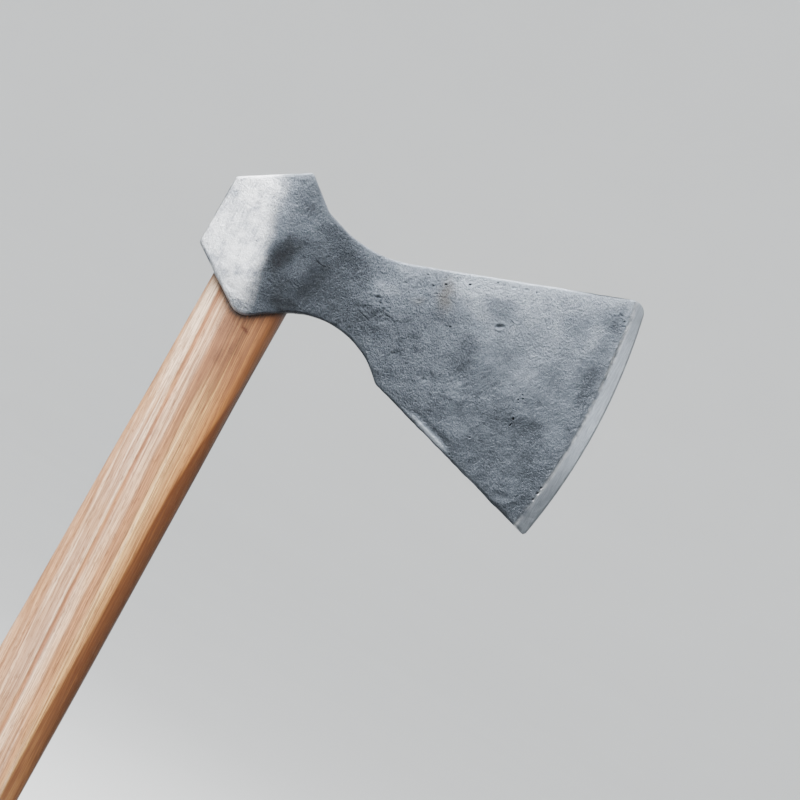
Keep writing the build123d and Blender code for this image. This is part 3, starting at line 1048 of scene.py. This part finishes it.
def forged_steel():
    """Satin forged grey with scale and stains, brighter where the poll and the edge are ground; painted
    light lightens the blade towards its top, with painted highlights on the bevel and the near lower
    burr.
    """
    m = Shader("forged_steel")
    bevel = m.attribute("bevel")
    scale = m.attribute("scale")
    cloud = m.noise(0.06, 4, 0.6)
    patch = m.noise(0.25, 5, 0.65, shift=(31, 5, 2))
    dimple = m.noise(0.42, 2, 0.5, shift=(12, 4, 9))
    peel = m.noise(1.35, 4, 0.68)
    fine = m.noise(2.9, 3, 0.6, shift=(3, 9, 1))
    brush = m.noise(2.4, 3, 0.6, stretch=(1, 1, 0.09), shift=(7, 7, 3))

    # oxide tone with painted light and shade, lighter up the blade
    tone_and_light = m.attribute("tone_and_light")
    for grain, amount in ((cloud, 0.5), (patch, 0.5), (peel, 0.5), (fine, 0.8)):
        tone_and_light = m.plus(tone_and_light, m.swing(grain, amount))
    grey = m.mix(m.ramp(tone_and_light, -0.1, 0.45), (0.062, 0.070, 0.082), (0.180, 0.206, 0.242))
    grey = m.mix(m.ramp(tone_and_light, 0.35, 1.05), grey, (0.46, 0.51, 0.575))
    torn = m.plus(m.plus(scale, m.swing(patch, 1.6)), m.swing(peel, 1.3))
    scaled = m.times(m.ramp(torn, 0.1, 0.9), m.ramp(scale, 0.02, 0.25))
    grey = m.mix(m.times(scaled, 0.8), grey, (0.030, 0.032, 0.035))
    stain = m.times(m.attribute("stain"), m.ramp(patch, 0.3, 0.55, 0.2, 0.75))
    grey = m.mix(stain, grey, (0.135, 0.118, 0.098))

    worn = m.times(patch, 0.35)
    for grain, amount in ((cloud, 0.3), (brush, 0.2), (peel, 0.15)):
        worn = m.plus(worn, m.times(grain, amount))
    ground = m.mix(m.ramp(worn, 0.40, 0.57), (0.34, 0.37, 0.43), (0.95, 0.97, 1.0))
    lines = m.ramp(brush, 0.35, 0.65)
    dull = m.mix(lines, (0.27, 0.29, 0.32), (0.36, 0.385, 0.42))
    bright = m.mix(lines, (0.58, 0.62, 0.68), (0.76, 0.80, 0.86))
    # painted highlight: the honed bevel is lightest at mid edge
    honed_with_highlight = m.mix(m.attribute("bevel_highlight"), dull, bright)
    colour = m.mix(bevel, m.mix(m.attribute("forged"), ground, grey), honed_with_highlight)
    colour = m.mix(m.ramp(m.attribute("pit"), 0.2, 1.0, 0.0, 0.85), colour, (0.016, 0.016, 0.018))
    rough = m.plus(m.ramp(patch, 0.3, 0.7, 0.30, 0.40), m.times(scaled, 0.12))

    # orange peel and fine pits where the metal is forged, then grinding lines that run up the blade
    loose = m.plus(m.times(m.attribute("loose"), 0.8), 0.2)
    crisp = m.times(loose, m.attribute("grit"))
    rub = m.minus(1.0, m.times(bevel, 0.6))
    normal = None
    for grain, depth in ((dimple, 0.42), (peel, 0.50), (fine, 0.14)):
        normal = m.bump(m.times(grain, crisp), depth, normal)
    normal = m.bump(m.times(brush, rub), 0.05, normal)
    return m.finish(colour, Metallic=1.0, Roughness=rough, Normal=normal)


GRAIN_DRIFT = 0.055  # how far the growth layers move forward for each mm down the haft
# Colour of the wood from its back to its front, by layer place in mm
BAND_FROM, BAND_TO = -32.0, 22.0
WOOD_BANDS = [
    (-32, (0.54, 0.28, 0.13)), (-20, (0.6, 0.34, 0.18)), (-17.5, (0.82, 0.58, 0.38)),
    (-13, (0.88, 0.66, 0.48)), (-12.2, (0.8, 0.56, 0.36)), (-11.6, (0.34, 0.14, 0.07)),
    (-10.7, (0.42, 0.19, 0.1)), (-10, (0.78, 0.5, 0.31)), (-7.4, (0.74, 0.47, 0.28)),
    (-4.8, (0.46, 0.21, 0.09)), (-3, (0.52, 0.26, 0.12)), (-0.5, (0.74, 0.46, 0.18)),
    (3, (0.73, 0.44, 0.14)), (6, (0.58, 0.29, 0.07)), (12, (0.42, 0.17, 0.04)), (22, (0.34, 0.13, 0.03)),
]


def haft_wood():
    """Straight-grained oiled wood: growth layers cross the haft and drift forward down its length;
    painted shade darkens the front facets and a painted shadow lies under the head.
    """
    m = Shader("haft_wood")
    drift = m.node("ShaderNodeVectorMath", {0: m.mm, 1: (1.0, 0.0, GRAIN_DRIFT)}, operation="DOT_PRODUCT")
    layer = m.minus(drift.outputs["Value"], GRAIN_DRIFT * EYE_Z)
    layer = m.plus(layer, m.swing(m.noise(0.02, 2, 0.5, stretch=(0.4, 1, 1)), 1.4))
    split = m.node("ShaderNodeSeparateXYZ", {0: m.mm}).outputs
    grain = m.node("ShaderNodeCombineXYZ", {0: layer, 1: split[1], 2: split[2]}).outputs[0]
    broad = m.noise(0.30, 3, 0.6, stretch=(1, 0.3, 0.010), place=grain)
    line = m.noise(1.1, 4, 0.62, stretch=(1, 0.35, 0.007), shift=(9, 2, 4), place=grain)
    thin = m.noise(1.9, 3, 0.65, stretch=(1, 0.5, 0.009), shift=(2, 6, 3), place=grain)
    fine = m.noise(3.0, 3, 0.6, stretch=(1, 0.6, 0.012), shift=(5, 7, 1), place=grain)
    pore = m.noise(3.4, 2, 0.6, stretch=(1, 1, 0.07), shift=(4, 3, 8), place=grain)
    speck = m.noise(1.5, 5, 0.85, stretch=(1, 1, 0.5), shift=(8, 1, 5))
    cloud = m.noise(0.06, 3, 0.55, stretch=(1, 1, 0.3), shift=(2, 8, 1))
    streaky = m.ramp(layer, -14.0, 2.0, 0.34, 0.66)
    smear_and_shade = m.attribute("smear_and_shade")
    end = m.attribute("end")

    # laid over the growth bands in turn: where, how much, and what colour
    colour = m.bands(m.plus(layer, m.swing(line, 2.2)), BAND_FROM, BAND_TO, WOOD_BANDS)
    for share, amount, tint in (
        (m.ramp(broad, 0.49, 0.59), 0.68, (0.34, 0.15, 0.062)),
        (m.ramp(broad, 0.46, 0.36), 0.45, (0.92, 0.70, 0.50)),
        (m.ramp(cloud, 0.46, 0.70), 0.4, (0.54, 0.27, 0.085)),
        # darker over the front half just below the head
        (m.attribute("darker_below_head"), m.ramp(line, 0.34, 0.58, 0.65, 1.0), (0.26, 0.112, 0.048)),
        (m.ramp(line, 0.51, 0.61), streaky, (0.15, 0.066, 0.032)),
        (m.ramp(thin, 0.50, 0.60), streaky, (0.10, 0.044, 0.022)),
        (m.ramp(fine, 0.46, 0.60), 0.35, (0.16, 0.058, 0.024)),
        (m.attribute("warm"), 0.9, (0.24, 0.084, 0.024)),
        # painted shade on the front facets, deepest towards the front silhouette
        (m.attribute("front"), m.ramp(thin, 0.36, 0.56, 0.78, 0.97), (0.110, 0.034, 0.009)),
        (m.attribute("deep_shade"), m.ramp(line, 0.30, 0.60, 0.60, 0.80), (0.042, 0.015, 0.005)),
        # smears and specks of dirt, and painted shade right under the head
        (smear_and_shade, m.ramp(fine, 0.36, 0.56, 0.55, 1.0), (0.085, 0.034, 0.022)),
        (smear_and_shade, m.ramp(speck, 0.50, 0.68, 0.0, 1.3), (0.030, 0.016, 0.011)),
        # painted contact shadow right under the head
        (m.attribute("contact_shadow"), 0.97, (0.006, 0.004, 0.003)),
        (m.attribute("nick"), 0.92, (0.06, 0.016, 0.010)),
        (m.ramp(pore, 0.56, 0.66), 0.6, (0.13, 0.05, 0.022)),
        (end, 0.55, (0.26, 0.14, 0.08)),
    ):
        colour = m.mix(m.times(share, amount), colour, tint)
    rough = m.plus(m.ramp(line, 0.3, 0.7, 0.36, 0.50), m.times(end, 0.2))
    normal = m.bump(pore, 0.08, m.bump(fine, 0.05, m.bump(line, 0.10)))
    return m.finish(colour, Specular_IOR_Level=0.25, Roughness=rough, Normal=normal)


def wedge_wood():
    m = Shader("wedge_wood")
    fibre = m.noise(1.6, 4, 0.7, stretch=(1, 2.5, 0.05))
    ring = m.noise(0.5, 3, 0.6, stretch=(1, 2.0, 0.04), shift=(4, 1, 7))
    colour = m.mix(m.ramp(fibre, 0.35, 0.65), (0.12, 0.05, 0.024), (0.30, 0.145, 0.072))
    colour = m.mix(m.times(m.ramp(ring, 0.4, 0.6), 0.6), colour, (0.15, 0.065, 0.03))
    return m.finish(colour, Roughness=0.6, Normal=m.bump(fibre, 0.08))


def wedge_steel():
    m = Shader("wedge_steel")
    patch = m.noise(0.6, 4, 0.65)
    colour = m.mix(m.ramp(patch, 0.35, 0.65), (0.16, 0.155, 0.15), (0.34, 0.34, 0.345))
    rough = m.ramp(patch, 0.3, 0.7, 0.38, 0.6)
    return m.finish(colour, Metallic=1.0, Roughness=rough, Normal=m.bump(patch, 0.15))


def shade_smooth(ob):
    for face in ob.data.polygons:
        face.use_smooth = True


for ob, node, slot, material in (
    (head, "head", "forged_steel", forged_steel()),
    (haft, "haft", "haft_wood", haft_wood()),
    (wood_wedge, "wooden_wedge", "wedge_wood", wedge_wood()),
    (cross_wedge, "steel_wedge", "wedge_steel", wedge_steel()),
):
    shade_smooth(ob)
    ob.data.materials.clear()
    ob.data.materials.append(material)
    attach(ob, "root")
    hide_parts(node)


# ---- camera

PX = 0.38  # millimetres across one eight-hundredth of the view, at the blade
FRAME_WIDTH = 800 * PX
LENS = 150.0
SENSOR = 36.0
ROLL = math.radians(29.6)
aim = Vector((69.5, 0.0, EYE_Z - 28.5)) * MM
right = Vector((math.cos(ROLL), 0, math.sin(ROLL)))
up = Vector((-math.sin(ROLL), 0, math.cos(ROLL)))
back = right.cross(up)
cam_data = bpy.data.cameras.new("camera")
cam_data.lens = LENS
cam_data.sensor_width = SENSOR
cam_data.clip_end = 50
camera = bpy.data.objects.new("camera", cam_data)
bpy.context.scene.collection.objects.link(camera)
camera.matrix_world = Matrix((right, up, back)).transposed().to_4x4()
camera.matrix_world.translation = aim + back * (FRAME_WIDTH * MM * LENS / SENSOR)
bpy.context.scene.camera = camera


# ---- floor and light, in metres

STUDIO_R, COVE_R, WALL_TOP = 7.0, 3.5, 6.0
COVE_STEPS = 24
STUDIO_SIDES = 96
HEAD_MIDDLE = Vector((40.0, 0.0, EYE_Z - 5.0)) * MM
FLAG_LOW, FLAG_HIGH = 0.003, 2.4  # heights of the upright flags
FLAG_NEAR, FLAG_FAR = 0.04, 1.5  # how far before the blade the flags start and end
FLAG_BACK, FLAG_FRONT = -0.9, 1.3  # x where they end behind the poll and before the edge
FLAG_SHORT = 0.7  # reach of the lower flag on the far side
SKY = (0.94, 0.97, 1.0, 1)
SKY_STRENGTH = 1.6


def build_studio():
    """Pale round floor that rises in a wide cove, far outside every view's camera."""
    profile = [(r, 0.0) for r in (0.6, 1.5, 2.5, STUDIO_R - COVE_R)]
    for t in np.linspace(0, math.pi / 2, COVE_STEPS + 1)[1:]:
        profile.append((STUDIO_R - COVE_R + COVE_R * math.sin(t), COVE_R - COVE_R * math.cos(t)))
    profile.append((STUDIO_R, WALL_TOP))
    turns = 2 * math.pi * np.arange(STUDIO_SIDES) / STUDIO_SIDES
    verts = [(r * math.cos(t), r * math.sin(t), z) for r, z in profile for t in turns]
    faces = [range(STUDIO_SIDES)] + [face[::-1] for face in ring_faces(len(profile), STUDIO_SIDES)]
    ob = mesh_from("studio_floor", verts, faces)
    shade_smooth(ob)
    m = Shader("pale_floor")
    colour = m.mix(m.noise(0.004, 3, 0.5), (0.76, 0.76, 0.75), (0.80, 0.80, 0.79))
    ob.data.materials.append(m.finish(colour, Roughness=0.8, Specular_IOR_Level=0.1))
    return ob


def black_flags(side):
    """Cards facing, under and, on the near side, beside a cheek, which only glossy rays see."""
    near, far = FLAG_NEAR * side, FLAG_FAR * side
    reach = far if side == NEAR else FLAG_SHORT
    cards = [(x, far, z) for x, z in corners(FLAG_BACK - 0.6, FLAG_FRONT, FLAG_LOW, FLAG_HIGH)]
    cards += [(x, y, FLAG_LOW) for x, y in corners(FLAG_BACK, FLAG_FRONT, near, reach)]
    if side == NEAR:
        cards += [(FLAG_FRONT, y, z) for y, z in corners(near, far, FLAG_LOW, FLAG_HIGH)]
    ob = mesh_from("black_flags", cards, [range(k, k + 4) for k in range(0, len(cards), 4)])
    m = Shader("black_felt")
    felt = m.mix(m.noise(0.01), (0.02, 0.02, 0.02), (0.03, 0.03, 0.03))
    ob.data.materials.append(m.finish(felt, Roughness=1.0))
    ob.visible_camera = False
    ob.visible_diffuse = False
    ob.visible_shadow = False
    return ob


def softbox(name, across, rise, toward, distance, width, height, radiance, colour=(1, 1, 1)):
    """Area light aimed at the head, in a direction given by the camera's own right, up and back."""
    data = bpy.data.lights.new(name, "AREA")
    data.shape = "RECTANGLE"
    data.size = width
    data.size_y = height
    data.energy = radiance * width * height * math.pi
    data.color = colour
    ob = bpy.data.objects.new(name, data)
    bpy.context.scene.collection.objects.link(ob)
    offset = (right * across + up * rise + back * toward).normalized()
    ob.location = HEAD_MIDDLE + offset * distance
    ob.rotation_mode = "QUATERNION"
    ob.rotation_quaternion = offset.to_track_quat("Z", "Y")
    ob.visible_camera = False


build_studio()
softbox("poll_side", -0.33, 0.22, 0.88, 1.1, 0.4, 0.5, 12.5)
softbox("sky", 0.0, 0.85, 0.5, 0.7, 0.6, 0.35, 20.0)
softbox("far_sky", 0.1, 0.85, -0.5, 0.7, 0.6, 0.35, 16.0)
softbox("edge_side", 0.62, 0.06, 0.78, 1.0, 0.25, 0.8, 3.4, (0.9, 0.96, 1.0))
softbox("far_edge_side", 0.62, 0.06, -0.78, 1.0, 0.25, 0.8, 3.0, (0.9, 0.96, 1.0))
black_flags(NEAR)
black_flags(FAR)

world = bpy.data.worlds.new("studio")
bpy.context.scene.world = world
world.use_nodes = True
background = world.node_tree.nodes["Background"]
background.inputs["Color"].default_value = SKY
background.inputs["Strength"].default_value = SKY_STRENGTH
